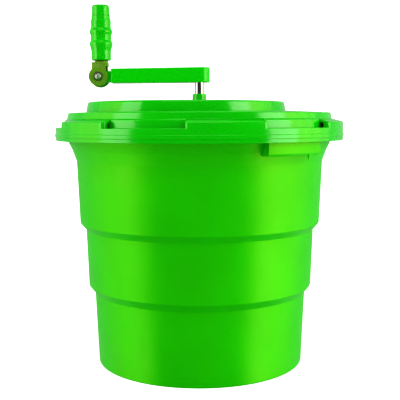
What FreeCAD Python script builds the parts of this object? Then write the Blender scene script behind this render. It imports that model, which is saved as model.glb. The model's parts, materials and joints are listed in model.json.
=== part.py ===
import FreeCAD
import Part
import math
import os

V = FreeCAD.Vector
UP = V(0, 0, 1)
ACROSS = V(0, 1, 0)

# Driving dimensions, mm. The tub's axis is Z and its foot stands on z = 0.
WALL = 3.0
GAP = 0.3
SAME_BODY = 0.05
RIM_Z = 353.0
RIM_R = 209.0
SKIRT_R = 216.0
SKIRT_Z = 337.5
LEDGE_TOP_Z = 356.5
TIER_R = 199.1
RECESS_R = 202.0
RECESS_COUNT = 6
RECESS_FIRST = -20.2
RECESS_WIDTH = 30.6
DISC_X = -20.0
DISC_TOP_Z = 394.3
BOSS_TOP_Z = 406.7
GRIP_HOLD_START = 25.5
GRIP_HOLD_END = 53.0
GRIP_HOLD_Z = 319.3

SHAFT_R = 6.85
MODULE = 1.5
CRANK_TEETH = 60
PINION_TEETH = 20
WHEEL_TEETH = 48
DRIVE_TEETH = 32
LAY_X = -60.0
UPPER_GEAR_Z = 374.0
LOWER_GEAR_Z = 362.0
GEAR_W = 8.0
BACKLASH = 0.3

PLATE_R = 170.0
PLATE_Z = 336.8
LUG_COUNT = 6

PIVOT_X = -151.5
PIVOT_Z = 433.0
PIVOT_R = 3.5
TONGUE_HALF = 11.3
CLEVIS_IN = 12.5
CLEVIS_OUT = 15.5
BRIDGE_Z = 448.5
BRIDGE_TOP_Z = 454.0
GRIP_X = -148.0
SPINDLE_R = 4.0

BASKET_Z = 22.0
BASKET_TOP_Z = 333.0
PIN_R = 5.0


def outline(points):
    """Closed outline in the XZ plane; a third number on a point rounds that corner."""
    starts, ends, arcs = [], [], []
    count = len(points)
    for i, p in enumerate(points):
        here = V(p[0], 0, p[1])
        radius = p[2] if len(p) > 2 else 0
        if not radius:
            starts.append(here)
            ends.append(here)
            arcs.append(None)
            continue
        before = points[i - 1]
        after = points[(i + 1) % count]
        a = (V(before[0], 0, before[1]) - here).normalize()
        b = (V(after[0], 0, after[1]) - here).normalize()
        half = a.getAngle(b) / 2
        reach = radius / math.tan(half)
        centre = here + (a + b).normalize() * (radius / math.sin(half))
        start = here + a * reach
        end = here + b * reach
        middle = centre + (here - centre).normalize() * radius
        starts.append(start)
        ends.append(end)
        arcs.append(Part.Arc(start, middle, end).toShape())
    edges = []
    for i in range(count):
        if arcs[i]:
            edges.append(arcs[i])
        following = (i + 1) % count
        if (starts[following] - ends[i]).Length > 1e-6:
            edges.append(Part.makeLine(ends[i], starts[following]))
    return Part.Face(Part.Wire(edges))


def turned(points, x=0.0):
    """Body of revolution about the vertical line at x."""
    shape = outline(points).revolve(V(0, 0, 0), UP, 360)
    shape.translate(V(x, 0, 0))
    return shape


def tube(inner, outer, z0, z1, x=0.0, y=0.0):
    shape = Part.makeCylinder(outer, z1 - z0, V(x, y, z0))
    if inner:
        shape = shape.cut(Part.makeCylinder(inner, z1 - z0 + 2, V(x, y, z0 - 1)))
    return shape


def cross_tube(inner, outer, y0, y1):
    """Ring on the fold pivot, which lies along Y."""
    shape = Part.makeCylinder(outer, y1 - y0, V(PIVOT_X, y0, PIVOT_Z), ACROSS)
    if inner:
        bore = Part.makeCylinder(inner, y1 - y0 + 2, V(PIVOT_X, y0 - 1, PIVOT_Z), ACROSS)
        shape = shape.cut(bore)
    return shape


def sector(r0, r1, z0, z1, first, last):
    """Part of a ring between two bearings, counted from -Y towards +X."""
    outer = Part.makeCylinder(r1, z1 - z0, V(0, 0, z0), UP, last - first)
    inner = Part.makeCylinder(r0, z1 - z0 + 2, V(0, 0, z0 - 1))
    shape = outer.cut(inner)
    shape.rotate(V(0, 0, 0), UP, first - 90)
    return shape


def box(x0, x1, y0, y1, z0, z1):
    return Part.makeBox(x1 - x0, y1 - y0, z1 - z0, V(x0, y0, z0))


def spun(shape, angle, x=0.0):
    turned_copy = shape.copy()
    turned_copy.rotate(V(x, 0, 0), UP, angle)
    return turned_copy


def around(shape, count, x=0.0, first=0.0):
    return [spun(shape, first + 360.0 * i / count, x) for i in range(count)]


def hexagon(across, z0, z1):
    radius = across / math.sqrt(3)
    corners = []
    for i in range(7):
        angle = math.radians(60 * i)
        corners.append(V(radius * math.cos(angle), radius * math.sin(angle), z0))
    return Part.Face(Part.makePolygon(corners)).extrude(V(0, 0, z1 - z0))


def involute(angle):
    return math.tan(angle) - angle


def gear(teeth, z0, x=0.0, offset=0.0):
    """Spur gear of MODULE with 20 degree flanks, a tooth centred on the bearing given."""
    pitch = MODULE * teeth / 2
    base = pitch * math.cos(math.radians(20))
    tip = pitch + MODULE * 0.95
    root = pitch - MODULE * 1.25
    half_pitch = math.pi / (2 * teeth) - BACKLASH / (4 * pitch)
    flank = []
    steps = 5
    low = max(base, root + 0.2)
    for i in range(steps + 1):
        r = low + (tip - low) * i / steps
        press = math.acos(min(1.0, base / r))
        half = half_pitch + involute(math.radians(20)) - involute(press)
        flank.append((r, half))
    corners = []
    for k in range(teeth):
        middle = math.radians(offset) + 2 * math.pi * k / teeth
        polar = [(root, middle - flank[0][1] * 1.04)]
        polar += [(r, middle - half) for r, half in flank]
        polar += [(r, middle + half) for r, half in reversed(flank)]
        polar += [(root, middle + flank[0][1] * 1.04)]
        corners += [V(x + r * math.cos(a), r * math.sin(a), z0) for r, a in polar]
    corners.append(corners[0])
    return Part.Face(Part.makePolygon(corners)).extrude(V(0, 0, GEAR_W))


def softened(shape, radius, chosen):
    """Rounds the edges that chosen() accepts, and says so if they had to stay sharp."""
    edges = [e for e in shape.Edges if chosen(e)]
    try:
        rounded = shape.makeFillet(radius, edges)
        if rounded.isValid():
            return rounded
    except Part.OCCError:
        pass
    print("edges left sharp:", len(edges), "of radius", radius)
    return shape


def upright_plate(points, thick):
    """A plate in the XZ plane, given by (radius, height) corners."""
    corners = [V(r, 0, z) for r, z in points]
    return Part.Face(Part.makePolygon(corners + corners[:1])).extrude(V(0, thick, 0))


def tub_shell():
    shell = turned([
        (0, 4), (148, 4), (149, 0), (156, 0, 0.8), (156.7, 1.5), (161.4, 108.4, 2), (170.3, 119.3, 2),
        (173.4, 204.3, 2), (182.1, 214, 2), (185.9, 307, 12), (191.8, 323.4), (196.2, 332.5),
        (203.8, 350, 1), (RIM_R, 350, 0.8), (RIM_R, RIM_Z, 0.8), (201.2, RIM_Z, 1.5), (193.2, 334),
        (188.9, 324.6), (183, 308, 12), (179.2, 215.2, 2), (170.4, 205.2, 2), (167.4, 120.2, 2),
        (158.5, 109.4, 2), (153.7, 7, 4), (12, 7, 2), (12, 16, 1), (0, 16),
    ])
    web = [(188.6, 320), (206.5, 320), (206.5, 351), (203, 351), (194.2, 332)]
    fin = [(203.4, 321), (205.4, 312), (207.6, 321)]
    for side in (0, 180):
        shell = shell.fuse([
            spun(sector(205, 208, GRIP_HOLD_Z, 351, GRIP_HOLD_START, GRIP_HOLD_END), side),
            spun(upright_plate(web, 2.5), side + GRIP_HOLD_START - 90),
            spun(upright_plate(web, 2.5), side + GRIP_HOLD_END - 0.8 - 90),
            spun(upright_plate(fin, 3), side + 45.6 - 90),
        ])
    shell = shell.removeSplitter()
    return shell.cut(tube(0, PIN_R + SAME_BODY, 8, 20))


def basket_shell():
    shell = turned([
        (9.3, BASKET_Z), (139, BASKET_Z, 3), (163.3, 330), (172, 330, 0.6), (172, BASKET_TOP_Z, 0.6),
        (161, BASKET_TOP_Z, 0.8), (136.8, 24.5, 1.5), (13, 24.5, 1), (13, 38, 1.5), (0, 38), (0, 35),
        (9.3, 35),
    ])
    cutters = []
    for low in (42, 112, 182, 252):
        slot = box(130, 176, -1.6, 1.6, low, low + 56)
        cutters += around(slot, 30, first=6 * (low % 4))
    cutters += around(box(30, 72, -1.6, 1.6, 20, 26), 18)
    cutters += around(box(84, 126, -1.6, 1.6, 20, 26), 30)
    notch = box(165.4, 176, -7, 7, 329, 334)
    cutters += around(notch, LUG_COUNT, first=6)
    return shell.cut(Part.makeCompound(cutters))


def basket_bush():
    return turned([
        (PIN_R + 0.05, 22.1), (9.25, 22.1, 0.3), (9.25, 34.95, 0.3), (0, 34.95), (0, 31.3),
        (PIN_R + 0.05, 31.3),
    ])


def at_block_corner(edge):
    low, high = edge.BoundBox.ZMin, edge.BoundBox.ZMax
    reach = math.hypot(edge.CenterOfMass.x, edge.CenterOfMass.y)
    upright = edge.BoundBox.XLength < 2 and edge.BoundBox.YLength < 2
    return upright and reach > 215 and low > LEDGE_TOP_Z - 0.1 and high - low > 3


def lid_shell():
    shell = turned([
        (213, SKIRT_Z), (SKIRT_R, SKIRT_Z, 0.8), (SKIRT_R, 342.7), (216.8, 343.3), (216.8, 347.7),
        (SKIRT_R, 348.3), (215.6, 364.8, 2.2), (TIER_R, 369, 1.5), (197.2, 378, 1.8), (130, 381),
        (0, 381), (0, 378), (130, 378), (194.2, 375, 1), (196.1, RIM_Z + GAP),
        (213, RIM_Z + GAP),
    ])
    disc = turned([(0, 377.6), (150.5, 377.6), (148, DISC_TOP_Z, 3), (0, DISC_TOP_Z)], DISC_X)
    boss = turned([(0, 390), (10.3, 390), (10.3, BOSS_TOP_Z, 1.2), (0, BOSS_TOP_Z)])
    shell = shell.fuse([disc, boss])
    inner_channel = turned([
        (RECESS_R, LEDGE_TOP_Z), (206.9, LEDGE_TOP_Z), (206.9, 364.2), (RECESS_R, 365.4),
    ])
    outer_channel = turned([
        (208.1, LEDGE_TOP_Z), (213, LEDGE_TOP_Z), (213, 362.6), (208.1, 363.9),
    ])
    hollow = turned([(0, 370), (147.5, 370), (145, 391.3, 1.5), (0, 391.3)], DISC_X)
    cuts = [inner_channel, outer_channel, hollow]
    for k in range(RECESS_COUNT):
        middle = RECESS_FIRST + 60 * k
        first = middle - RECESS_WIDTH / 2
        cuts.append(sector(RECESS_R, 222, LEDGE_TOP_Z, 374, first, first + RECESS_WIDTH))
    shell = shell.cut(cuts)
    shell = softened(shell, 2.5, at_block_corner)
    rib = tube(85, 88, 360.75, 391.5)
    rib.translate(V(DISC_X, 0, 0))
    screw_boss = tube(0, 5, 359.25, 391.5, DISC_X + 92)
    lay_boss = tube(0, 8, 384, 391.5, LAY_X)
    shaft_boss = tube(0, 13, 386, 391.5)
    shell = shell.fuse([rib, lay_boss, shaft_boss] + around(screw_boss, 6, DISC_X, 30))
    holes = [tube(0, 8.75, 385, 408), tube(0, 4.05, 383, 390, LAY_X)]
    holes += around(tube(0, 1.7, 358, 378, DISC_X + 92), 6, DISC_X, 30)
    return shell.cut(holes)


def gear_case():
    dish = turned([(0, 355.7), (98, 355.7, 1), (98, 359.2, 1), (0, 359.2)], DISC_X)
    lip = tube(82, 84.7, 358.5, 363, DISC_X)
    hub = tube(0, 18, 344, 359.2)
    seat = tube(0, 8, 358.5, 361.6, LAY_X)
    case = dish.fuse([lip, hub, seat])
    holes = [tube(0, 14.05, 343, 360), tube(0, 4.05, 357, 362, LAY_X)]
    holes += around(tube(0, 1.8, 355, 360, DISC_X + 92), 6, DISC_X, 30)
    return case.cut(holes)


def case_screws():
    head = tube(0, 3.4, 353, 355.65, DISC_X + 92)
    shank = tube(0, 1.6, 355, 374, DISC_X + 92)
    return Part.makeCompound(around(head.fuse(shank), 6, DISC_X, 30))


def output_bush():
    return turned([
        (11.05, 341.9), (17, 341.9, 0.4), (17, 343.95), (14, 343.95), (14, 361.7, 0.3), (11.05, 361.7),
    ])


def layshaft_gear():
    upper = gear(PINION_TEETH, UPPER_GEAR_Z, LAY_X, 9)
    lower = gear(WHEEL_TEETH, LOWER_GEAR_Z, LAY_X, 3.75)
    neck = tube(0, 11, 369, 375, LAY_X)
    cluster = upper.fuse([lower, neck]).cut(tube(0, 4.05, 360, 384, LAY_X))
    windows = around(tube(0, 6.5, 361, 371, LAY_X + 23), 6, LAY_X, 30)
    return cluster.cut(windows)


def drive_pinion():
    wheel = gear(DRIVE_TEETH, LOWER_GEAR_Z)
    hub = tube(0, 11, 341.6, 362.5)
    spigot = hexagon(14, 333.5, 342)
    solid = wheel.fuse([hub, spigot])
    return solid.cut([tube(0, 4.05, 352, 372), tube(0, 3.05, 332, 349)])


def drive_plate():
    disc = turned([(0, PLATE_Z), (PLATE_R, PLATE_Z, 0.8), (PLATE_R, 339.8, 0.8), (0, 339.8)])
    hub = tube(0, 20, 333.5, 341.3)
    rim = tube(161, 164, 332.9, 338)
    disc = disc.fuse([hub])
    windows = []
    for k in range(6):
        windows.append(sector(44, 92, 330, 345, 60 * k + 8, 60 * k + 52))
        windows.append(sector(100, 150, 330, 345, 60 * k + 8, 60 * k + 52))
    disc = disc.cut(windows)
    spoke = box(19, 158, -1.5, 1.5, 334, 338)
    ring = tube(157, 160, 334, 338)
    lug = box(166, 169.6, -6, 6, 330.7, 338)
    disc = disc.fuse([ring] + around(spoke, 6, first=30) + around(lug, LUG_COUNT, first=6))
    return disc.cut(hexagon(14.1, 330, 345)).removeSplitter()


def drive_screw():
    head = hexagon(10, 327.9, 331.9)
    return head.fuse(tube(0, 3, 331.5, 347))


def crank_shaft():
    shaft = turned([
        (0, 355), (4, 355, 0.6), (4, 371.5), (SHAFT_R, 371.5, 0.5), (SHAFT_R, 438, 0.8), (0, 438),
    ])
    return shaft.cut(tube(0, 3.05, 420, 441))


def crank_gear():
    wheel = gear(CRANK_TEETH, UPPER_GEAR_Z)
    holes = [tube(0, SHAFT_R + SAME_BODY, 373, 383)]
    holes += around(tube(0, 8, 373, 383, 27), 6)
    return wheel.cut(holes)


def crank_arm():
    bar = Part.Face(Part.makePolygon([
        V(15.9, -15, 424), V(15.9, -15, 446.5), V(-132.8, -15, 444.4), V(-132.8, -15, 423.1),
        V(15.9, -15, 424),
    ])).extrude(V(0, 30, 0))
    bar = softened(bar, 14.5, lambda e: e.Length < 24 and abs(e.BoundBox.XMax - 15.9) < 0.1
                   and e.BoundBox.ZLength > 20)
    bar = softened(bar, 2, lambda e: e.Length < 24 and abs(e.BoundBox.XMax + 132.8) < 0.1
                   and e.BoundBox.ZLength > 20)
    bar = softened(bar, 1.2, lambda e: e.BoundBox.ZLength < 5)
    tongue = box(PIVOT_X, -128, -TONGUE_HALF, TONGUE_HALF, 424.5, 441)
    eye = cross_tube(0, 13.2, -TONGUE_HALF, TONGUE_HALF)
    arm = bar.fuse([tongue, eye]).removeSplitter()
    return arm.cut([
        tube(0, SHAFT_R + SAME_BODY, 420, 438.05), tube(0, 3.3, 437, 450), tube(0, 9.6, 440.5, 450),
        cross_tube(0, PIVOT_R + 0.05, -20, 20),
    ])


def clevis():
    body = box(-160.8, -137.6, -CLEVIS_OUT, CLEVIS_OUT, BRIDGE_Z, BRIDGE_TOP_Z)
    body = softened(body, 3, lambda e: e.BoundBox.ZLength > 3)
    pieces = []
    for y0, radius in ((-CLEVIS_OUT, 14.0), (CLEVIS_IN, 15.6)):
        y1 = y0 + CLEVIS_OUT - CLEVIS_IN
        plate = box(-160.8, -140, y0, y1, PIVOT_Z, BRIDGE_TOP_Z - 0.5)
        disc = cross_tube(0, radius, y0, y1)
        pieces += [plate, disc]
    body = body.fuse(pieces).removeSplitter()
    return body.cut([
        cross_tube(0, PIVOT_R + SAME_BODY, -20, 20),
        tube(0, SPINDLE_R + SAME_BODY, 440, 456, GRIP_X),
    ])


def pivot_bolt():
    head = cross_tube(0, 4.8, -19.5, -16.4)
    head = softened(head, 2.2, lambda e: abs(e.BoundBox.YMax + 19.5) < 0.1)
    return head.fuse(cross_tube(0, PIVOT_R, -17, 19.4))


def pivot_nut():
    nut = hexagon(10, 0, 3)
    nut.rotate(V(0, 0, 0), V(1, 0, 0), -90)
    nut.translate(V(PIVOT_X, 16.4, PIVOT_Z))
    return nut.cut(cross_tube(0, PIVOT_R + SAME_BODY, 14, 22))


def pivot_washers():
    outer = [cross_tube(PIVOT_R + SAME_BODY, 6.8, -16.35, -15.55)]
    outer.append(cross_tube(PIVOT_R + SAME_BODY, 8, 15.55, 16.35))
    inner = [cross_tube(PIVOT_R + SAME_BODY, 9, -12.45, -11.6)]
    inner.append(cross_tube(PIVOT_R + SAME_BODY, 9, 11.6, 12.45))
    return Part.makeCompound(outer), Part.makeCompound(inner)


def handle_spindle():
    return tube(2.55, SPINDLE_R, 448.6, 502, GRIP_X)


def grip_screw():
    head = tube(0, 5, 503.3, 507.3, GRIP_X)
    head = softened(head, 1.2, lambda e: e.BoundBox.ZMin > 507)
    return head.fuse(tube(0, 2.5, 478, 504, GRIP_X))


def grip():
    return turned([
        (SPINDLE_R + 0.05, 457.3), (14.6, 457.3, 1.8), (14.6, 471.5, 12), (17.5, 482, 5), (15.4, 487.2, 9),
        (15.4, 494.8, 9), (17.5, 500, 5), (15.0, 505.5, 9), (14.7, 510, 8), (15.2, 514.5, 4),
        (13.9, 519.5, 9), (13.7, 523.6, 0.5), (9.6, 523.6), (9.6, 501.7), (SPINDLE_R + 0.05, 501.7),
    ], GRIP_X)


def grip_end_cap():
    return turned([
        (0, 512), (9.55, 512, 0.5), (9.55, 523.65), (13.7, 523.65, 0.4), (13.0, 529, 25),
        (12.9, 539.3, 2.8), (0, 539.3),
    ], GRIP_X)


def pieces():
    washers, spacers = pivot_washers()
    return {
        "tub_shell": tub_shell(),
        "pivot_pin": turned([(0, 8.05), (PIN_R, 8.05), (PIN_R, 31, 1.2), (0, 31)]),
        "basket_shell": basket_shell(),
        "basket_bush": basket_bush(),
        "lid_shell": lid_shell(),
        "shaft_bush": tube(SHAFT_R + 0.05, 8.7, 386, 403.5),
        "shaft_seal": tube(SHAFT_R + 0.08, 8.7, 403.55, 406.5),
        "gear_case": gear_case(),
        "case_seal": tube(85.2, 86.8, 359.22, 360.7, DISC_X),
        "layshaft_pin": tube(0, 4, 357.1, 389.9, LAY_X),
        "output_bush": output_bush(),
        "case_screws": case_screws(),
        "layshaft_gear": layshaft_gear(),
        "drive_pinion": drive_pinion(),
        "drive_plate": drive_plate(),
        "drive_washer": tube(3.05, 12, 331.95, 333.45),
        "drive_screw": drive_screw(),
        "crank_shaft": crank_shaft(),
        "crank_gear": crank_gear(),
        "gear_circlip": tube(SHAFT_R + SAME_BODY, 10, 372.5, 373.95),
        "thrust_washer": tube(SHAFT_R + SAME_BODY, 12.5, 382.05, 385.7),
        "crank_arm": crank_arm(),
        "arm_washer": tube(3.05, 9.3, 440.55, 442),
        "arm_screw": tube(0, 6, 442.05, 445.4).fuse(tube(0, 3, 422, 443)),
        "clevis": clevis(),
        "pivot_bolt": pivot_bolt(),
        "pivot_nut": pivot_nut(),
        "pivot_washers": washers,
        "pivot_spacers": spacers,
        "spindle_collar": tube(SPINDLE_R + SAME_BODY, 10, 454.05, 457, GRIP_X),
        "handle_spindle": handle_spindle(),
        "spindle_washer": tube(2.55, 7.5, 502.05, 503.25, GRIP_X),
        "spindle_screw": grip_screw(),
        "grip": grip(),
        "grip_end_cap": grip_end_cap(),
    }


def main():
    os.makedirs("parts", exist_ok=True)
    for name, shape in pieces().items():
        if not shape.isValid():
            print("not valid", name)
        print(name, len(shape.Solids), round(shape.Volume / 1000, 2))
        shape.exportStep("parts/" + name + ".step")


main()
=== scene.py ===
import bpy
import bmesh
import json
import math
from mathutils import Matrix, Vector


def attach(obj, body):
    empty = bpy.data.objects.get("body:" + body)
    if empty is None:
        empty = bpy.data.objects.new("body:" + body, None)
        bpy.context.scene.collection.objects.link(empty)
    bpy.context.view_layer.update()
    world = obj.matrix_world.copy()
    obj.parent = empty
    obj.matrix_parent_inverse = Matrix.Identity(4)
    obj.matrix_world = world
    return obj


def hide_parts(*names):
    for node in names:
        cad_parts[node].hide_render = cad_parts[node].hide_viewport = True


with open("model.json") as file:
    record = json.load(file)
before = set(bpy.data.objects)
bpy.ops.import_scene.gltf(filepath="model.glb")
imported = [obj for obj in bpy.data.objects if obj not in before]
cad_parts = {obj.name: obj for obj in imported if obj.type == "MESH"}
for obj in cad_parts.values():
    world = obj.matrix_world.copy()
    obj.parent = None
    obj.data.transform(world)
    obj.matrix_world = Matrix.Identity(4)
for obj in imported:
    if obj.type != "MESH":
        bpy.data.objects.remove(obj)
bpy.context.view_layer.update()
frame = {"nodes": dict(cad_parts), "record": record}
mm = 0.001


def roundedLine(points, steps=5, straight=0.004):
    # (a, b) or (a, b, radius) points, in mm, come back as (a, b) with the corners rounded
    line = []
    count = len(points)
    for i, p in enumerate(points):
        here = Vector(p[:2])
        if len(p) < 3 or i in (0, count - 1):
            line.append(tuple(here))
            continue
        a = (Vector(points[i - 1][:2]) - here).normalized()
        b = (Vector(points[(i + 1) % count][:2]) - here).normalized()
        half = a.angle(b) / 2
        if half > math.pi / 2 - straight:
            line.append(tuple(here))
            continue
        reach = p[2] / math.tan(half)
        centre = here + (a + b).normalized() * (p[2] / math.sin(half))
        start = here + a * reach - centre
        turn = start.angle_signed(here + b * reach - centre)
        for k in range(steps + 1):
            spoke = start.copy()
            spoke.rotate(Matrix.Rotation(-turn * k / steps, 2))
            line.append(tuple(centre + spoke))
    return line


def newObject(name, bm, angle=35):
    bmesh.ops.recalc_face_normals(bm, faces=bm.faces)
    mesh = bpy.data.meshes.new(name)
    bm.to_mesh(mesh)
    bm.free()
    obj = bpy.data.objects.new(name, mesh)
    bpy.context.scene.collection.objects.link(obj)
    mesh.shade_smooth()
    mesh.set_sharp_from_angle(angle=math.radians(angle))
    return obj


def lathe(bm, line, segments=128, x=0.0, y=0.0, closed=True):
    # turns a line of (radius, height) about the upright line at x, y
    rings = []
    for r, z in line:
        if r < 1e-4:  # a point on the line itself
            rings.append([bm.verts.new((x * mm, y * mm, z * mm))])
            continue
        ring = []
        for k in range(segments):
            a = 2 * math.pi * k / segments
            ring.append(bm.verts.new(((x + r * math.cos(a)) * mm, (y + r * math.sin(a)) * mm, z * mm)))
        rings.append(ring)
    pairs = list(zip(rings, rings[1:]))
    if closed:
        pairs.append((rings[-1], rings[0]))
    for low, high in pairs:
        if len(low) == 1 and len(high) == 1:
            continue
        for k in range(segments):
            n = (k + 1) % segments
            if len(low) == 1:
                bm.faces.new((low[0], high[n], high[k]))
            elif len(high) == 1:
                bm.faces.new((low[k], low[n], high[0]))
            else:
                bm.faces.new((low[k], low[n], high[n], high[k]))


def latheOnPivot(bm, line, pivot, segments=64):
    # the same about the fold pivot, which lies along Y: line holds (radius, y)
    part = bmesh.new()
    lathe(part, line, segments)
    bmesh.ops.transform(part, matrix=Matrix.Rotation(math.radians(-90), 4, "X"), verts=part.verts)
    bmesh.ops.translate(part, vec=(pivot[0] * mm, 0, pivot[1] * mm), verts=part.verts)
    join(bm, part)


def join(bm, part):
    mesh = bpy.data.meshes.new("joining")
    part.to_mesh(mesh)
    part.free()
    bm.from_mesh(mesh)
    bpy.data.meshes.remove(mesh)


def cornerStations(first, last, plain, radius, corner, steps=6, clear=1.2):
    # bearings and insets that round the outer upright edge at both ends of a sweep
    span = math.degrees(corner / radius)
    ends = []
    for k in range(steps + 1):
        lean = math.radians(90 * k / steps)
        ends.append((span * (1 - math.sin(lean)), corner * (1 - math.cos(lean))))
    middle = [s for s in plain if first + span * clear < s[0] < last - span * clear]
    start = [(first + along, inset) for along, inset in ends]
    finish = [(last - along, inset) for along, inset in ends]
    return sorted(start + middle + finish)


def arcSweep(bm, section, first, last, steps, corner=0.0, fadeFrom=0.0, fadeOver=1.0):
    # carries a closed (radius, height) section part of the way round Z, bearings counted from -Y
    # the corner's inset grows from nothing at radius fadeFrom
    stations = [(first + (last - first) * k / steps, 0.0) for k in range(steps + 1)]
    if corner:
        stations = cornerStations(first, last, stations, max(r for r, z in section), corner)
    rings = []
    for bearing, inset in stations:
        a = math.radians(bearing)
        ring = []
        for r, z in section:
            r -= inset * min(max((r - fadeFrom) / fadeOver, 0), 1)
            ring.append(bm.verts.new((r * math.sin(a) * mm, -r * math.cos(a) * mm, z * mm)))
        rings.append(ring)
    for one, two in zip(rings, rings[1:]):
        for k in range(len(section)):
            n = (k + 1) % len(section)
            bm.faces.new((one[k], one[n], two[n], two[k]))
    bm.faces.new(rings[0])
    bm.faces.new(rings[-1])


def slab(bm, outline, low, high, place):
    # a flat outline pushed from low to high; place(a, b, depth) says where a point goes
    near = [bm.verts.new([c * mm for c in place(a, b, low)]) for a, b in outline]
    far = [bm.verts.new([c * mm for c in place(a, b, high)]) for a, b in outline]
    for k in range(len(outline)):
        n = (k + 1) % len(outline)
        bm.faces.new((near[k], near[n], far[n], far[k]))
    bm.faces.new(near)
    bm.faces.new(far)


def bevel(obj, width, segments=3, angle=40):
    mod = obj.modifiers.new("edges", "BEVEL")
    mod.width = width * mm
    mod.segments = segments
    mod.limit_method = "ANGLE"
    mod.angle_limit = math.radians(angle)
    mod.harden_normals = True


def finishPiece(obj, body, slotName, nodes):
    obj.data.materials.append(materials[slotName])
    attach(obj, body)
    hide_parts(*nodes)


def newGroup(name, inputs, outputs):
    group = bpy.data.node_groups.new(name, "ShaderNodeTree")
    for label, kind, value in inputs:
        socket = group.interface.new_socket(label, in_out="INPUT", socket_type=kind)
        socket.default_value = value
    for label, kind in outputs:
        group.interface.new_socket(label, in_out="OUTPUT", socket_type=kind)
    start = group.nodes.new("NodeGroupInput")
    end = group.nodes.new("NodeGroupOutput")
    return group, start.outputs, end.inputs


def wire(tree, source, target):
    tree.links.new(source, target)


def noiseNode(tree, vector, scale, detail=2.0, rough=0.5):
    node = tree.nodes.new("ShaderNodeTexNoise")
    node.inputs["Detail"].default_value = detail
    node.inputs["Roughness"].default_value = rough
    wire(tree, vector, node.inputs["Vector"])
    if isinstance(scale, float):
        node.inputs["Scale"].default_value = scale
    else:
        wire(tree, scale, node.inputs["Scale"])
    return node.outputs["Fac"]


def mathNode(tree, kind, a, b):
    node = tree.nodes.new("ShaderNodeMath")
    node.operation = kind
    for socket, value in zip(node.inputs, (a, b)):
        if isinstance(value, float):
            socket.default_value = value
        else:
            wire(tree, value, socket)
    return node.outputs[0]


def rangeNode(tree, value, low, high, toLow=0.0, toHigh=1.0):
    node = tree.nodes.new("ShaderNodeMapRange")
    wire(tree, value, node.inputs["Value"])
    labels = ("From Min", "From Max", "To Min", "To Max")
    for label, limit in zip(labels, (low, high, toLow, toHigh)):
        if isinstance(limit, float):
            node.inputs[label].default_value = limit
        else:
            wire(tree, limit, node.inputs[label])
    return node.outputs["Result"]


def stretched(tree, vector, scale):
    node = tree.nodes.new("ShaderNodeMapping")
    node.inputs["Scale"].default_value = scale
    wire(tree, vector, node.inputs["Vector"])
    return node.outputs["Vector"]


def makeMouldGrain():
    # the fine pebbling and slow waviness that a steel mould leaves on plastic
    group, given, gives = newGroup(
        "mouldGrain",
        [("Vector", "NodeSocketVector", (0, 0, 0)), ("Grain Size", "NodeSocketFloat", 900.0),
         ("Grain Depth", "NodeSocketFloat", 0.3), ("Wave Size", "NodeSocketFloat", 22.0),
         ("Wave Depth", "NodeSocketFloat", 1.0)],
        [("Height", "NodeSocketFloat"), ("Patches", "NodeSocketFloat")])
    fine = noiseNode(group, given["Vector"], given["Grain Size"], 3.0, 0.6)
    slow = noiseNode(group, given["Vector"], given["Wave Size"], 1.0, 0.4)
    fineHeight = mathNode(group, "MULTIPLY", fine, given["Grain Depth"])
    slowHeight = mathNode(group, "MULTIPLY", slow, given["Wave Depth"])
    wire(group, mathNode(group, "ADD", fineHeight, slowHeight), gives["Height"])
    wire(group, rangeNode(group, slow, 0.3, 0.7), gives["Patches"])
    return group


def makeHandling():
    # faint smears and hair-fine rubs from being washed and carried
    group, given, gives = newGroup(
        "handling",
        [("Vector", "NodeSocketVector", (0, 0, 0)), ("Smear Size", "NodeSocketFloat", 14.0),
         ("Rub Size", "NodeSocketFloat", 130.0)],
        [("Smears", "NodeSocketFloat"), ("Rubs", "NodeSocketFloat")])
    smear = noiseNode(group, given["Vector"], given["Smear Size"], 4.0, 0.65)
    leaning = stretched(group, given["Vector"], (1.0, 1.0, 0.07))
    crossing = stretched(group, given["Vector"], (0.09, 0.09, 1.0))
    upright = noiseNode(group, leaning, given["Rub Size"], 2.0, 0.7)
    level = noiseNode(group, crossing, given["Rub Size"], 2.0, 0.7)
    uprightRubs = rangeNode(group, upright, 0.66, 0.74)
    levelRubs = rangeNode(group, level, 0.67, 0.75)
    wire(group, rangeNode(group, smear, 0.42, 0.7), gives["Smears"])
    wire(group, mathNode(group, "MAXIMUM", uprightRubs, levelRubs), gives["Rubs"])
    return group


def makePaintedEdgeLightAndWear():
    # painted light on coloured plastic: thin edges and corners lightened as if light carried through them; on
    # metal, plate rubbed bright at thin edges and corners
    group, given, gives = newGroup(
        "paintedEdgeLightAndWear",
        [("From", "NodeSocketFloat", 0.52), ("To", "NodeSocketFloat", 0.62)],
        [("Mask", "NodeSocketFloat")])
    geometry = group.nodes.new("ShaderNodeNewGeometry")
    mask = rangeNode(group, geometry.outputs["Pointiness"], given["From"], given["To"])
    wire(group, mask, gives["Mask"])
    return group


def makeTurnedLines():
    # the fine rings that a lathe tool leaves round a turned part
    group, given, gives = newGroup(
        "turnedLines",
        [("Vector", "NodeSocketVector", (0, 0, 0)), ("Line Size", "NodeSocketFloat", 900.0)],
        [("Lines", "NodeSocketFloat")])
    squeezed = stretched(group, given["Vector"], (0.02, 0.02, 1.0))
    wire(group, noiseNode(group, squeezed, given["Line Size"], 3.0, 0.7), gives["Lines"])
    return group


mouldGrain = makeMouldGrain()
handling = makeHandling()
paintedEdgeLightAndWear = makePaintedEdgeLightAndWear()
turnedLines = makeTurnedLines()


def newMaterial(name):
    material = bpy.data.materials.new(name)
    material.use_nodes = True
    tree = material.node_tree
    shader = tree.nodes["Principled BSDF"]
    coords = tree.nodes.new("ShaderNodeTexCoord").outputs["Object"]
    return material, tree, shader, coords


def placeGroup(tree, group, coords, values):
    node = tree.nodes.new("ShaderNodeGroup")
    node.node_tree = group
    if "Vector" in node.inputs:
        wire(tree, coords, node.inputs["Vector"])
    for label, value in values.items():
        node.inputs[label].default_value = value
    return node.outputs


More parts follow.
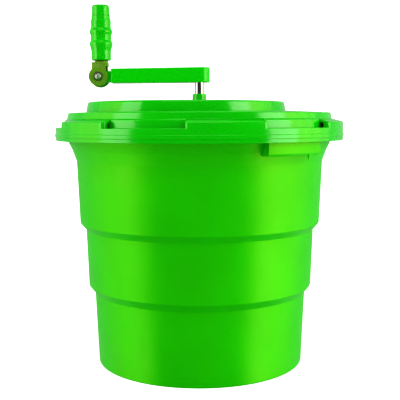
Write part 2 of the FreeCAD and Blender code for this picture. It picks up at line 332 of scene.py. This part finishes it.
def mixColour(tree, amount, one, two):
    node = tree.nodes.new("ShaderNodeMix")
    node.data_type = "RGBA"
    wire(tree, amount, node.inputs["Factor"])
    for socket, value in ((node.inputs["A"], one), (node.inputs["B"], two)):
        if isinstance(value, tuple):
            socket.default_value = (*value, 1.0)
        else:
            wire(tree, value, socket)
    return node.outputs["Result"]


def addBump(tree, shader, height, strength, distance):
    bump = tree.nodes.new("ShaderNodeBump")
    bump.inputs["Strength"].default_value = strength
    bump.inputs["Distance"].default_value = distance
    wire(tree, height, bump.inputs["Height"])
    wire(tree, bump.outputs["Normal"], shader.inputs["Normal"])


def addRoughness(tree, shader, hand, look, rubRough):
    smear = mathNode(tree, "MULTIPLY", hand["Smears"], look["smearRough"])
    rub = mathNode(tree, "MULTIPLY", hand["Rubs"], rubRough)
    rough = mathNode(tree, "ADD", mathNode(tree, "ADD", smear, rub), look["rough"])
    wire(tree, rough, shader.inputs["Roughness"])


def plastic(name, look):
    material, tree, shader, coords = newMaterial(name)
    mould = placeGroup(tree, mouldGrain, coords, look["mould"])
    hand = placeGroup(tree, handling, coords, look["handling"])
    edge = placeGroup(tree, paintedEdgeLightAndWear, coords, {})
    tone = mixColour(tree, mould["Patches"], look["deep"], look["base"])
    # painted edge light: thin edges and corners mixed toward the lighter edge colour, standing in for light
    # carried through the plastic
    glow = mathNode(tree, "MULTIPLY", edge["Mask"], look["edgeLightAndWearAmount"])
    tone = mixColour(tree, glow, tone, look["edge"])
    rubbed = mathNode(tree, "MULTIPLY", hand["Rubs"], look["rubTint"])
    wire(tree, mixColour(tree, rubbed, tone, look["edge"]), shader.inputs["Base Color"])
    addRoughness(tree, shader, hand, look, look["rubRough"])
    addBump(tree, shader, mould["Height"], look["bump"], 0.4 * mm)
    shader.inputs["IOR"].default_value = look["ior"]
    shader.inputs["Specular IOR Level"].default_value = look["shine"]
    shader.inputs["Specular Tint"].default_value = (*look["shineTint"], 1)
    return material


def metal(name, look):
    material, tree, shader, coords = newMaterial(name)
    lines = placeGroup(tree, turnedLines, coords, {"Line Size": look["lines"]})
    hand = placeGroup(tree, handling, coords, {"Smear Size": 60.0, "Rub Size": 700.0})
    edge = placeGroup(tree, paintedEdgeLightAndWear, coords, {"From": 0.53, "To": 0.66})
    tone = mixColour(tree, rangeNode(tree, lines["Lines"], 0.3, 0.7), look["deep"], look["base"])
    worn = mathNode(tree, "MULTIPLY", edge["Mask"], look["edgeLightAndWearAmount"])
    wire(tree, mixColour(tree, worn, tone, look["edge"]), shader.inputs["Base Color"])
    addRoughness(tree, shader, hand, look, look["smearRough"])
    addBump(tree, shader, lines["Lines"], look["bump"], 0.1 * mm)
    shader.inputs["Metallic"].default_value = look.get("metallic", 1.0)
    return material


# in the plastic looks the edge colour is the lighter tone painted at thin edges as light carried through the
# plastic, and also the colour that rubs lighten toward
greenLook = {
    "base": (0.005, 0.66, 0.0), "deep": (0.004, 0.61, 0.0), "edge": (0.05, 0.80, 0.01),
    "edgeLightAndWearAmount": 0.15, "rubTint": 0.05, "shine": 0.78, "shineTint": (1.0, 1.0, 0.1),
    "rough": 0.36, "smearRough": 0.07, "rubRough": 0.10, "bump": 0.22, "ior": 1.47,
    "mould": {"Grain Size": 1500.0, "Grain Depth": 0.35, "Wave Size": 14.0, "Wave Depth": 0.8},
    "handling": {"Smear Size": 11.0, "Rub Size": 120.0},
}

looks = {
    "tub_green": ("plastic", greenLook),
    "lid_green": ("plastic", dict(greenLook, rough=0.13, bump=0.10, shine=0.85, shineTint=(1.0, 1.0, 0.85))),
    "arm_green": ("plastic", dict(
        greenLook, rough=0.18, bump=0.08, base=(0.002, 0.72, 0.0), deep=(0.002, 0.69, 0.0), shine=0.6,
        shineTint=(1.0, 1.0, 0.9))),
    "grip_green": ("plastic", dict(
        greenLook, rough=0.16, bump=0.06, base=(0.004, 0.66, 0.0), deep=(0.003, 0.61, 0.0), shine=0.8,
        shineTint=(1.0, 1.0, 0.8))),
    "basket_green": ("plastic", dict(
        greenLook, rough=0.34, base=(0.06, 0.68, 0.012), shineTint=(1.0, 1.0, 0.7))),
    "case_plastic": ("plastic", dict(
        greenLook, base=(0.56, 0.57, 0.55), deep=(0.50, 0.51, 0.49), edge=(0.7, 0.7, 0.68), rough=0.42,
        shineTint=(1.0, 1.0, 1.0))),
    "nylon": ("plastic", dict(
        greenLook, base=(0.74, 0.72, 0.65), deep=(0.68, 0.66, 0.58), edge=(0.85, 0.84, 0.8), rough=0.4,
        shineTint=(1.0, 1.0, 1.0))),
    "seal_rubber": ("plastic", dict(
        greenLook, base=(0.018, 0.018, 0.018), deep=(0.012, 0.012, 0.012), edge=(0.04, 0.04, 0.04),
        rough=0.62, bump=0.5, shineTint=(1.0, 1.0, 1.0))),
    "steel": ("metal", {
        "base": (0.60, 0.60, 0.60), "deep": (0.48, 0.48, 0.48), "edge": (0.8, 0.8, 0.8),
        "edgeLightAndWearAmount": 0.5, "lines": 1800.0, "rough": 0.26, "smearRough": 0.12, "bump": 0.25}),
    "shaft_chrome": ("metal", {
        "base": (0.62, 0.66, 0.60), "deep": (0.56, 0.59, 0.54), "edge": (0.85, 0.85, 0.88),
        "edgeLightAndWearAmount": 0.4, "lines": 2600.0, "rough": 0.09, "smearRough": 0.06, "bump": 0.06}),
    "bolt_chrome": ("metal", {
        "base": (0.62, 0.68, 0.60), "deep": (0.56, 0.61, 0.54), "edge": (0.88, 0.88, 0.86),
        "edgeLightAndWearAmount": 0.3, "lines": 2600.0, "rough": 0.55, "smearRough": 0.08, "bump": 0.08}),
    "washer_dark": ("metal", {
        "base": (0.20, 0.22, 0.12), "deep": (0.14, 0.15, 0.08), "metallic": 0.7, "edge": (0.4, 0.4, 0.38),
        "edgeLightAndWearAmount": 0.5, "lines": 2000.0, "rough": 0.35, "smearRough": 0.12, "bump": 0.2}),
    "yellow_zinc": ("metal", {
        "base": (0.22, 0.46, 0.018), "deep": (0.18, 0.39, 0.014), "edge": (0.42, 0.56, 0.16),
        "metallic": 0.2, "edgeLightAndWearAmount": 0.6, "lines": 700.0, "rough": 0.50, "smearRough": 0.14, "bump": 0.2}),
}
materials = {}
for slotName, (kind, look) in looks.items():
    materials[slotName] = plastic(slotName, look) if kind == "plastic" else metal(slotName, look)
for subpart in frame["record"]["subparts"]:
    node = frame["nodes"][subpart["node"]]
    for place in node.material_slots:
        place.material = materials[subpart["material_slot"]]
print("materials made:", len(materials))


tub = {
    "outside": [(0, 4), (148, 4, 0.6), (149, 0, 0.6), (156, 0, 0.8), (156.7, 1.5, 1), (161.4, 108.4, 2.5),
                (170.3, 119.3, 2.5), (173.4, 204.3, 2.5), (182.1, 214, 2.5), (185.9, 307, 14),
                (191.8, 323.4, 14), (196.2, 332.5, 14), (203.8, 350, 1.5), (209, 350, 0.8),
                (209, 353, 0.8), (201.2, 353, 1.5)],
    "inside": [(193.2, 334, 14), (188.9, 324.6, 14), (183, 308, 14), (179.2, 215.2, 2), (170.4, 205.2, 2),
               (167.4, 120.2, 2), (158.5, 109.4, 2), (153.7, 7, 4), (12, 7, 2), (12, 16, 1), (5.1, 16),
               (5.1, 8), (0, 8)],
    "segments": 256,
    "holdSides": (0, 180),
    "holdSteps": 40,
    "holdFrom": 25.5,
    "holdTo": 53.0,
    "holdSection": [(205, 351), (205, 320.3, 0.8), (205.2, 319.3, 0.3), (205.6, 319.3, 0.3), (208, 322.7, 1.6),
                    (208, 351)],
    "webs": [25.5, 52.2],  # end walls of the hand hold
    "web": [(188.6, 320), (206.5, 320), (206.5, 351), (203, 351), (194.2, 332)],
    "webThick": 2.5,
    "finAt": 45.6,
    "fin": [(203.4, 321), (205.4, 312), (207.6, 321)],
    "finThick": 3.0,
}


def uprightPlate(bm, points, bearing, thick):
    turn = math.radians(bearing)
    slab(bm, points, 0, thick, lambda r, z, d: (
        r * math.sin(turn) + d * math.cos(turn), -r * math.cos(turn) + d * math.sin(turn), z))


def makeTub():
    bm = bmesh.new()
    lathe(bm, roundedLine(tub["outside"] + tub["inside"]), tub["segments"], closed=False)
    section = roundedLine(tub["holdSection"], 3)
    for side in tub["holdSides"]:
        arcSweep(bm, section, tub["holdFrom"] + side, tub["holdTo"] + side, tub["holdSteps"])
        for bearing in tub["webs"]:
            uprightPlate(bm, tub["web"], bearing + side, tub["webThick"])
        uprightPlate(bm, tub["fin"], tub["finAt"] + side, tub["finThick"])
    obj = newObject("tubWall", bm)
    finishPiece(obj, "tub", "tub_green", ["tub_shell"])


makeTub()
print("tub made")


lid = {
    "segments": 288,
    "body": [(213, 353.3), (213, 337.5, 0.5), (216, 337.5, 0.9), (216, 342.6, 0.4), (216.8, 343.2, 0.4),
             (216.8, 347.8, 0.4), (216, 348.4, 0.4), (216, 356.5, 0.8), (202, 356.5, 0.8),
             (202, 368.2, 2.8), (199.1, 369, 0.5), (197.2, 378, 1.8), (130, 381), (0, 381)],
    "under": [(0, 378), (130, 378), (194.2, 375, 1), (196.1, 353.3)],
    "blockSection": [(200, 366), (213, 362.6, 0.6), (213, 356), (216, 356), (215.6, 364.8, 2.4),
                     (199.1, 369.02), (198.6, 368.9)],
    "blockCorner": 5.0, "cornerFrom": 202.0, "cornerOver": 11.0, "blockSteps": 32,
    "innerRib": [(206.9, 356), (208.1, 356), (208.1, 364.6), (206.9, 364.9)],
    "ribShort": 0.6,  # degrees that the rib stops short of the block's ends
    "recesses": 6, "bossSegments": 96,
    "firstRecess": -20.2,
    "recessWidth": 30.6,
    "edge": 0.35,
    "discAt": -20.0,
    "disc": [(147.6, 378), (150.6, 378), (150.4, 381.6, 1.2), (148, 394.3, 3.2), (0, 394.3), (0, 391.3),
             (145, 391.3, 1.5), (147.3, 379)],
    "boss": [(8.75, 391), (13, 391), (13, 394.2), (12, 394.3, 1.4), (10.3, 395.8, 1.6), (10.3, 406.7, 1.3),
             (8.75, 406.7, 0.3)],
}


def makeLid():
    bm = bmesh.new()
    lathe(bm, roundedLine(lid["body"], 4), lid["segments"], closed=False)
    lathe(bm, roundedLine(lid["under"] + [(213, 353.3)], 4), lid["segments"], closed=False)
    lathe(bm, roundedLine(lid["disc"]), lid["segments"], lid["discAt"])
    lathe(bm, roundedLine(lid["boss"]), lid["bossSegments"])
    section = roundedLine(lid["blockSection"], 4)
    pitch = 360 / lid["recesses"]
    steps, short = lid["blockSteps"], lid["ribShort"]
    for k in range(lid["recesses"]):
        first = lid["firstRecess"] + pitch * k + lid["recessWidth"] / 2
        last = first + pitch - lid["recessWidth"]
        arcSweep(bm, section, first, last, steps, lid["blockCorner"], lid["cornerFrom"], lid["cornerOver"])
        arcSweep(bm, lid["innerRib"], first + short, last - short, steps)
    obj = newObject("lidShell", bm)
    bevel(obj, lid["edge"], 2, 60)
    return obj


finishPiece(makeLid(), "lid", "lid_green", ["lid_shell"])
print("lid made")


arm = {
    "left": -132.8, "right": 15.9, "half": 15.0, "corner": 14.6, "innerCorner": 2.5,
    "topRight": 446.5, "topLeft": 444.4, "bottomRight": 424.0, "bottomLeft": 423.1,
    "edge": 1.3,
    "pivot": (-151.5, 433.0), "eye": 13.2, "eyeSteps": 40,
    "tongueHalf": 11.3, "tongueLow": 424.5, "tongueHigh": 441.0, "tongueEnd": -129.0,
}


def armLevel(x, low):
    share = (x - arm["left"]) / (arm["right"] - arm["left"])
    if low:
        return arm["bottomLeft"] + share * (arm["bottomRight"] - arm["bottomLeft"])
    return arm["topLeft"] + share * (arm["topRight"] - arm["topLeft"])


def arcPoints(pivot, radius, start, turn, steps):
    return [(pivot[0] + radius * math.cos(start + turn * k / steps),
             pivot[1] + radius * math.sin(start + turn * k / steps)) for k in range(steps + 1)]


def makeArm():
    bm = bmesh.new()
    x0, x1, h = arm["left"], arm["right"], arm["half"]
    ring = [(0, -h), (x1, -h, arm["corner"]), (x1, h, arm["corner"]), (x0, h, arm["innerCorner"]),
            (x0, -h, arm["innerCorner"]), (0, -h)]
    outline = roundedLine(ring, 8)[:-1]
    slab(bm, outline, 1, 0, lambda x, y, low: (x, y, armLevel(x, low)))
    top = math.asin((arm["tongueHigh"] - arm["pivot"][1]) / arm["eye"])
    low = math.asin((arm["tongueLow"] - arm["pivot"][1]) / arm["eye"])
    eye = arcPoints(arm["pivot"], arm["eye"], top, 2 * math.pi - top + low, arm["eyeSteps"])
    outline = [(arm["tongueEnd"], arm["tongueLow"]), (arm["tongueEnd"], arm["tongueHigh"])] + eye
    slab(bm, outline, -arm["tongueHalf"], arm["tongueHalf"], lambda x, z, y: (x, y, z))
    obj = newObject("crankArm", bm)
    bevel(obj, arm["edge"], 4)
    return obj


finishPiece(makeArm(), "crank", "arm_green", ["crank_arm"])


shaft = {
    "segments": 72,
    "line": [(0, 355), (4, 355, 0.6), (4, 371.5), (6.85, 371.5, 0.4), (6.85, 409.0), (6.6, 409.3),
             (6.6, 410.2), (6.85, 410.5), (6.85, 438), (0, 438)],
}
shaftMesh = bmesh.new()
lathe(shaftMesh, roundedLine(shaft["line"]), shaft["segments"], closed=False)
finishPiece(newObject("crankShaft", shaftMesh), "crank", "shaft_chrome", ["crank_shaft"])
print("crank made")


handle = {
    "pivot": (-151.5, 433.0),
    "frontDisc": 14.0, "backDisc": 15.6, "discSteps": 40,
    "left": -160.8, "right": -140.0, "tab": -137.6, "tabRoot": -143.0,
    "inside": 12.5, "outside": 15.5, "bridgeLow": 448.5, "bridgeTop": 454.0,
    "bend": 1.3, "edge": 0.4, "tabSide": 9.5, "tabCorner": 3.0,
    "collar": [(4.05, 454.05), (10, 454.05, 0.5), (10, 457, 1.3), (4.05, 457, 0.4)],
    "head": [(0, -19.5), (1.6, -19.4), (3.0, -18.9), (4.1, -18.0), (4.7, -17.0), (4.8, -16.4), (3.5, -16.4),
             (3.5, 19.2, 0.5), (0, 19.4)],
    "frontWasher": [(3.55, -16.35), (6.8, -16.35, 0.25), (6.8, -15.55, 0.2), (3.55, -15.55)],
    "backWasher": [(3.55, 15.55), (8, 15.55, 0.25), (8, 16.35, 0.2), (3.55, 16.35)],
    "gripAxis": -148.0, "collarSegments": 64,
}


def plateOutline(radius):
    left = math.acos((handle["left"] - handle["pivot"][0]) / radius)
    right = math.acos((handle["right"] - handle["pivot"][0]) / radius)
    disc = arcPoints(handle["pivot"], radius, left, 2 * math.pi - left + right, handle["discSteps"])
    top = handle["bridgeTop"] - handle["bend"]
    return disc + [(handle["right"], top), (handle["left"], top)]


def makeClevis():
    bm = bmesh.new()
    out, inn = handle["outside"], handle["inside"]
    slab(bm, plateOutline(handle["frontDisc"]), -out, -inn, lambda x, z, y: (x, y, z))
    slab(bm, plateOutline(handle["backDisc"]), inn, out, lambda x, z, y: (x, y, z))
    low, top, bend = handle["bridgeLow"], handle["bridgeTop"], handle["bend"]
    strap = [(0, top), (out, top, bend), (out, top - bend - 1), (inn, top - bend - 1), (inn, low, 0.5),
             (-inn, low, 0.5), (-inn, top - bend - 1), (-out, top - bend - 1), (-out, top, bend), (0, top)]
    slab(bm, roundedLine(strap, 6)[:-1], handle["left"], handle["right"], lambda y, z, x: (x, y, z))
    root, side, corner = handle["tabRoot"], handle["tabSide"], handle["tabCorner"]
    tab = [(root, -side), (handle["tab"], -side, corner), (handle["tab"], side, corner), (root, side)]
    slab(bm, roundedLine(tab), low, top - 0.02, lambda x, y, z: (x, y, z))  # just under the strap's top
    obj = newObject("handleClevis", bm)
    bevel(obj, handle["edge"], 3, 50)
    return obj


finishPiece(makeClevis(), "handle", "yellow_zinc", ["clevis"])

boltMesh = bmesh.new()
latheOnPivot(boltMesh, roundedLine(handle["head"]), handle["pivot"])
finishPiece(newObject("pivotBolt", boltMesh, 50), "handle", "bolt_chrome", ["pivot_bolt"])

washerMesh = bmesh.new()
latheOnPivot(washerMesh, roundedLine(handle["frontWasher"], 2), handle["pivot"])
latheOnPivot(washerMesh, roundedLine(handle["backWasher"], 2), handle["pivot"])
finishPiece(newObject("pivotWashers", washerMesh), "handle", "washer_dark", ["pivot_washers"])

collarMesh = bmesh.new()
lathe(collarMesh, roundedLine(handle["collar"]), handle["collarSegments"], handle["gripAxis"])
finishPiece(newObject("spindleCollar", collarMesh), "handle", "yellow_zinc", ["spindle_collar"])
print("handle made")


grip = {
    "axis": -148.0,
    "segments": 96,
    "handle": [(4.05, 457.3), (14.6, 457.3, 1.8), (14.6, 471.5, 12), (17.5, 482, 5), (15.4, 487.2, 9),
               (15.4, 494.8, 9), (17.5, 500, 5), (15.0, 505.5, 9), (14.7, 510, 8), (15.2, 514.5, 4),
               (13.9, 519.5, 9), (13.7, 523.6, 0.5), (9.6, 523.6), (9.6, 501.7), (4.05, 501.7)],
    "cap": [(0, 512), (9.55, 512, 0.5), (9.55, 523.65), (13.7, 523.65, 0.4), (13.0, 529, 25),
            (12.9, 539.3, 2.8), (0, 539.3)],
}
gripMesh = bmesh.new()
lathe(gripMesh, roundedLine(grip["handle"], 8), grip["segments"], grip["axis"])
finishPiece(newObject("gripHandle", gripMesh), "grip", "grip_green", ["grip"])
capMesh = bmesh.new()
lathe(capMesh, roundedLine(grip["cap"], 8), grip["segments"], grip["axis"], closed=False)
finishPiece(newObject("gripCap", capMesh), "grip", "grip_green", ["grip_end_cap"])
print("grip made")


studio = {
    "floorWide": 14.0,
    "floorTone": 0.68, "floorRough": 0.8,
    "glowNear": 0.62, "glowFar": 1.0, "glowFrom": 0.15, "glowTo": 1.6,  # the floor pales with distance
    "panels": [(-108, 4.6), (-95.5, 9.0), (-83, 13.0), (-70.5, 12.0), (-58, 11.6),
               (58, 14.4), (70.5, 15.6), (83, 19.0), (95.5, 13.0), (108, 7.0)],  # bearing and watts
    "panelWide": 0.482, "panelTall": 3.6, "panelAt": 0.1, "panelAway": 2.2,
    "outerFrom": 75,  # panels at bearings past this are the outermost
    "sideMirrored": 0.5,  # how much of the outermost panels' light is mirrored
    "sideTint": (1.0, 1.0, 0.45),  # the outermost panels are a little warm
    "high": {"wide": 1.6, "tall": 1.6, "watts": 7.0, "up": 68.0, "away": 2.2, "aim": 0.35},
    "seen": 1.0,
    "frontFill": 0.29, "backFill": 0.40, "fillFrom": -0.2, "fillTo": 0.6,  # what matt surfaces get
    "skyLow": 0.9, "skyHigh": 1.5,  # matt light from level with the floor and from straight up
    "frontGloss": 0.07, "backGloss": 0.4, "glossFrom": -0.1, "glossTo": 0.5,  # and what shiny ones mirror
}


def makeFloor():
    bm = bmesh.new()
    half = studio["floorWide"]
    corners = [bm.verts.new((x * half, y * half, 0)) for x, y in ((-1, -1), (1, -1), (1, 1), (-1, 1))]
    bm.faces.new(corners)
    obj = newObject("floor", bm)
    material, tree, shader, coords = newMaterial("floorPaint")
    tone = studio["floorTone"]
    shader.inputs["Base Color"].default_value = (tone, tone, tone, 1)
    shader.inputs["Roughness"].default_value = studio["floorRough"]
    shader.inputs["Specular IOR Level"].default_value = 0.0
    shader.inputs["Emission Color"].default_value = (1, 1, 1, 1)
    away = tree.nodes.new("ShaderNodeVectorMath")
    away.operation = "LENGTH"
    wire(tree, coords, away.inputs[0])
    glow = rangeNode(tree, away.outputs["Value"], studio["glowFrom"], studio["glowTo"], studio["glowNear"],
                     studio["glowFar"])
    seen = tree.nodes.new("ShaderNodeLightPath").outputs["Is Camera Ray"]
    wire(tree, mathNode(tree, "MULTIPLY", glow, seen), shader.inputs["Emission Strength"])
    obj.data.materials.append(material)
    obj.visible_glossy = False


def addLight(name, place, target, wide, tall, watts):
    data = bpy.data.lights.new(name, "AREA")
    data.shape = "RECTANGLE"
    data.size = wide
    data.size_y = tall
    data.energy = watts
    obj = bpy.data.objects.new(name, data)
    obj.location = place
    obj.rotation_euler = (Vector(target) - Vector(place)).to_track_quat("-Z", "Y").to_euler()
    bpy.context.scene.collection.objects.link(obj)
    return obj


def lightStudio():
    away, at = studio["panelAway"], studio["panelAt"]
    wide, tall = studio["panelWide"], studio["panelTall"]
    for bearing, watts in studio["panels"]:
        a = math.radians(bearing)
        place = (away * math.sin(a), -away * math.cos(a), at)
        outer = abs(bearing) > studio["outerFrom"]
        mirrored = studio["sideMirrored"] if outer else 1.0
        for share, glossy in ((mirrored, True), (1 - mirrored, False)):
            if share <= 0:
                continue
            panel = addLight("panel", place, (0, 0, at), wide, tall, watts * share)
            panel.visible_glossy = glossy
            if outer:
                panel.data.color = studio["sideTint"]
    high = studio["high"]
    up = math.radians(high["up"])
    place = (0, -high["away"] * math.cos(up), high["aim"] + high["away"] * math.sin(up))
    addLight("highPanel", place, (0, 0, high["aim"]), high["wide"], high["tall"], high["watts"])


def lightWorld():
    world = bpy.data.worlds.new("studio")
    bpy.context.scene.world = world
    world.use_nodes = True
    tree = world.node_tree
    background = tree.nodes["Background"]
    path = tree.nodes.new("ShaderNodeLightPath").outputs
    direction = tree.nodes.new("ShaderNodeSeparateXYZ")
    wire(tree, tree.nodes.new("ShaderNodeTexCoord").outputs["Generated"], direction.inputs[0])
    matt = rangeNode(tree, direction.outputs["Y"], studio["fillFrom"], studio["fillTo"],
                     studio["frontFill"], studio["backFill"])
    shiny = rangeNode(tree, direction.outputs["Y"], studio["glossFrom"], studio["glossTo"],
                      studio["frontGloss"], studio["backGloss"])
    sky = rangeNode(tree, direction.outputs["Z"], 0.0, 1.0, studio["skyLow"], studio["skyHigh"])
    matt = mathNode(tree, "MULTIPLY", matt, sky)
    chosen = tree.nodes.new("ShaderNodeMix")
    wire(tree, path["Is Glossy Ray"], chosen.inputs["Factor"])
    wire(tree, matt, chosen.inputs["A"])
    wire(tree, shiny, chosen.inputs["B"])
    level = rangeNode(tree, path["Is Camera Ray"], 0.0, 1.0, chosen.outputs["Result"], studio["seen"])
    wire(tree, level, background.inputs["Strength"])
    background.inputs["Color"].default_value = (1, 1, 1, 1)


camera = {
    "away": 1.1916,
    "aside": 0.0006,
    "height": 0.3666,
    "down": 5.842,
    "roll": 0.18,
    "lens": 69.93, "sensor": 36.0, "clipEnd": 60.0,
}


def makeCamera():
    data = bpy.data.cameras.new("camera")
    data.sensor_width = camera["sensor"]
    data.lens = camera["lens"]
    data.clip_end = camera["clipEnd"]
    obj = bpy.data.objects.new("camera", data)
    turn = Matrix.Rotation(math.radians(90 - camera["down"]), 4, "X")
    lean = Matrix.Rotation(math.radians(-camera["roll"]), 4, "Z")
    obj.matrix_world = Matrix.Translation((camera["aside"], -camera["away"], camera["height"])) @ turn @ lean
    bpy.context.scene.collection.objects.link(obj)
    bpy.context.scene.camera = obj


makeFloor()
lightStudio()
lightWorld()
makeCamera()
bpy.context.scene.view_settings.view_transform = "Standard"
bpy.context.scene.view_settings.look = "High Contrast"
print("studio ready")
